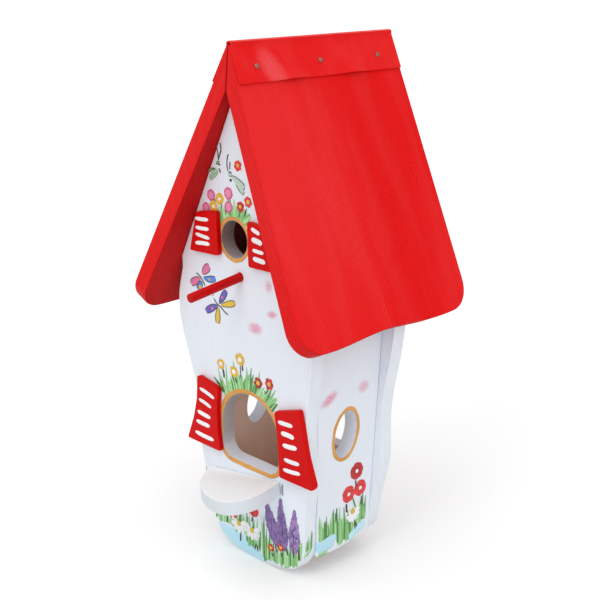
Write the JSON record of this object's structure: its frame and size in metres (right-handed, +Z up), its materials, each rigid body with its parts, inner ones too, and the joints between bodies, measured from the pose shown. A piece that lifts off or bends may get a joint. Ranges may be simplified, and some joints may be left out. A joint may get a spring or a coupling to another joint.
{
  "type": "birdhouse",
  "caption": "Tall painted wooden nest box over an open feeding chamber, with a steep gabled roof, ridge cap, round entry hole, perch, arched openings, shutters, tray and swinging rear cover",
  "frame": {"origin": "Centre of the feeder floor's underside, where a post or bracket holds the house up", "axes": "+Z up, -Y out of the front board with the entry hole, +X to the house's right as seen from the front"},
  "size_m": [0.2108, 0.2307, 0.4241],
  "materials": {
    "white_paint": "satin paint",
    "bare_wood": "sawn, unpainted",
    "red_roof_paint": "satin paint over visible grain",
    "red_cap": "semi-gloss flexible sheet",
    "nail_steel": "dull",
    "red_dowel_paint": "satin paint",
    "red_shutter_paint": "satin paint",
    "white_tray_paint": "satin paint",
    "white_cover_paint": "satin paint",
    "screw_steel": "zinc plated"
  },
  "bodies": {
    "house": {"front_board": "white_paint", "back_board": "white_paint", "side_board_left": "white_paint", "side_board_right": "white_paint", "nest_floor": "bare_wood", "feeder_floor": "bare_wood", "roof_board_left": "red_roof_paint", "roof_board_right": "red_roof_paint", "ridge_cap": "red_cap", "cap_nail_left_1": "nail_steel", "cap_nail_left_2": "nail_steel", "cap_nail_left_3": "nail_steel", "cap_nail_right_1": "nail_steel", "cap_nail_right_2": "nail_steel", "cap_nail_right_3": "nail_steel", "perch": "red_dowel_paint", "tray": "white_tray_paint", "shutter_upper_left": "red_shutter_paint", "shutter_upper_right": "red_shutter_paint", "shutter_lower_left": "red_shutter_paint", "shutter_lower_right": "red_shutter_paint", "cover_screw": "screw_steel"},
    "cover": {"clean_out_cover": "white_cover_paint"}
  },
  "joints": [
    {"name": "cover_swing", "type": "hinge", "parent": "house", "child": "cover", "pos_m": [-0.0182, 0.06059, 0.21149], "axis": [0, 0.9971, -0.0767], "range_deg": [-150, 150]}
  ]
}
